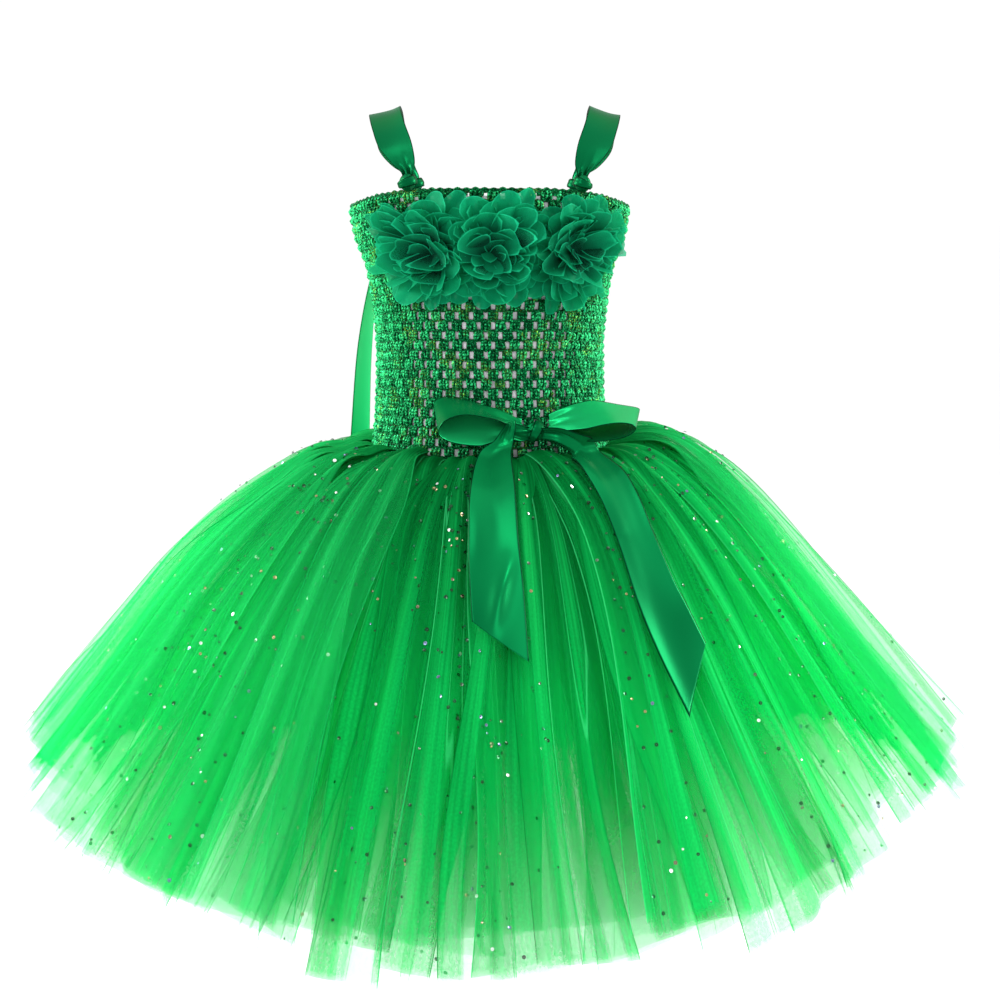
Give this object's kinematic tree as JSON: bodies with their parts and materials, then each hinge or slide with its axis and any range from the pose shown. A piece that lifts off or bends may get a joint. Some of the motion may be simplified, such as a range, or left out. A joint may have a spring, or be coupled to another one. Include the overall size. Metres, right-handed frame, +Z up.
{
  "type": "fairy costume dress",
  "caption": "Child's fairy costume dress: stretch crochet bodice, ribbon shoulder straps, chiffon flowers, satin waist bow and a full tutu skirt of loose tulle strips.",
  "frame": {"origin": "midway between the tops of the two shoulder straps, where the wearer's shoulders hold the dress", "axes": "+Z up, towards the wearer's head; the front of the dress faces -Y; +X is on the right of someone who looks at the front"},
  "size_m": [0.7832, 0.5847, 0.6081],
  "materials": {
    "crochet": "sparkly stretch crochet yarn, frizzy, dark and bright green",
    "lining": "plain pale lining that shows through the crochet",
    "tulle": "sheer bright green tulle with scattered sequins",
    "satin": "glossy satin ribbon with a woven edge",
    "chiffon": "translucent emerald chiffon petals, slightly crisp"
  },
  "bodies": {
    "root": {"back_tail_left": "satin", "back_tail_right": "satin", "bodice_crochet": "crochet", "bodice_lining": "lining", "bow_knot": "satin", "bow_loop_left": "satin", "bow_loop_right": "satin", "bow_tail_left": "satin", "bow_tail_right": "satin", "flower_left_inner": "chiffon", "flower_left_middle": "chiffon", "flower_left_outer": "chiffon", "flower_middle_inner": "chiffon", "flower_middle_middle": "chiffon", "flower_middle_outer": "chiffon", "flower_right_inner": "chiffon", "flower_right_middle": "chiffon", "flower_right_outer": "chiffon", "strap_knot_back_left": "satin", "strap_knot_back_right": "satin", "strap_knot_front_left": "satin", "strap_knot_front_right": "satin", "strap_left": "satin", "strap_right": "satin", "tulle_inner_01": "tulle", "tulle_inner_02": "tulle", "tulle_inner_03": "tulle", "tulle_inner_04": "tulle", "tulle_inner_05": "tulle", "tulle_inner_06": "tulle", "tulle_inner_07": "tulle", "tulle_inner_08": "tulle", "tulle_inner_09": "tulle", "tulle_inner_10": "tulle", "tulle_outer_01": "tulle", "tulle_outer_02": "tulle", "tulle_outer_03": "tulle", "tulle_outer_04": "tulle", "tulle_outer_05": "tulle", "tulle_outer_06": "tulle", "tulle_outer_07": "tulle", "tulle_outer_08": "tulle", "tulle_outer_09": "tulle", "tulle_outer_10": "tulle", "tulle_outer_11": "tulle", "tulle_outer_12": "tulle", "tulle_outer_13": "tulle", "tulle_outer_14": "tulle", "tulle_outer_15": "tulle", "tulle_outer_16": "tulle", "tulle_top_01": "tulle", "tulle_top_02": "tulle", "tulle_top_03": "tulle", "tulle_top_04": "tulle", "tulle_top_05": "tulle", "tulle_top_06": "tulle", "tulle_top_07": "tulle", "tulle_top_08": "tulle", "tulle_top_09": "tulle", "tulle_top_10": "tulle"}
  },
  "joints": []
}
